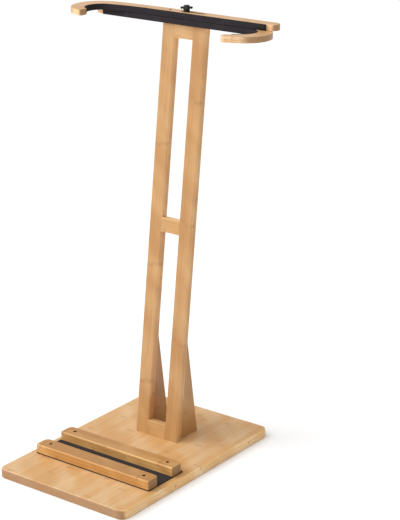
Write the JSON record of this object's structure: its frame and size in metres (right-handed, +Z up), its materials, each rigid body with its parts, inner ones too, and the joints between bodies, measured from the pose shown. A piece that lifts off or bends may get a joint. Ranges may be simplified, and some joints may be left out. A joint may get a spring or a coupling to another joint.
{
  "type": "board floor stand",
  "caption": "Free-standing bamboo floor stand that holds a surfboard or stand-up paddleboard upright between low rails and padded, adjustable hooked arms.",
  "frame": {"origin": "middle of the base's underside, on the floor", "axes": "+Z up; +Y towards the back, the way the upright leans; +X to the right seen from the front"},
  "size_m": [0.575, 0.6, 1.1261],
  "materials": {
    "bamboo_board": "satin lacquered laminated bamboo",
    "beech_dowel": "plain turned dowel",
    "rubber": "matt black sheet",
    "foam": "matt black closed-cell foam",
    "black_steel": "black oxide",
    "zinc_steel": "zinc plated",
    "bush_brass": "turned brass",
    "knob_plastic": "fine-grained black moulding"
  },
  "bodies": {
    "stand": {"base_plate": "bamboo_board", "rail_mat": "rubber", "front_rail": "bamboo_board", "rear_rail": "bamboo_board", "rail_screws": "black_steel", "left_stile": "bamboo_board", "right_stile": "bamboo_board", "bottom_rung": "bamboo_board", "middle_rung": "bamboo_board", "top_rung": "bamboo_board", "rung_dowels": "beech_dowel", "left_brace": "bamboo_board", "right_brace": "bamboo_board", "brace_dowels": "beech_dowel", "upright_screws": "zinc_steel", "insert_nut": "zinc_steel", "clamp_stud": "zinc_steel"},
    "lower_arm": {"lower_arm": "bamboo_board", "lower_arm_pad": "foam"},
    "upper_arm": {"upper_arm": "bamboo_board", "upper_arm_pad": "foam"},
    "washer": {"clamp_washer": "black_steel"},
    "knob": {"knob": "knob_plastic", "knob_bush": "bush_brass"}
  },
  "joints": [
    {"name": "lower_arm_slide", "type": "slide", "parent": "stand", "child": "lower_arm", "axis": [1, 0, 0], "range_m": [0, 0.064]},
    {"name": "upper_arm_slide", "type": "slide", "parent": "stand", "child": "upper_arm", "axis": [-1, 0, 0], "range_m": [-0.012, 0.052]},
    {"name": "knob_lift", "type": "slide", "parent": "stand", "child": "washer", "axis": [0, 0, 1], "range_m": [0, 0.0025]},
    {"name": "knob_turn", "type": "hinge", "parent": "washer", "child": "knob", "pos_m": [0, 0.21531, 1.12], "axis": [0, 0, 1], "range_deg": [0, 720]}
  ],
  "couplings": [
    {"joint": "knob_turn", "follows": "knob_lift", "rad_per_m": 5026.5}
  ]
}
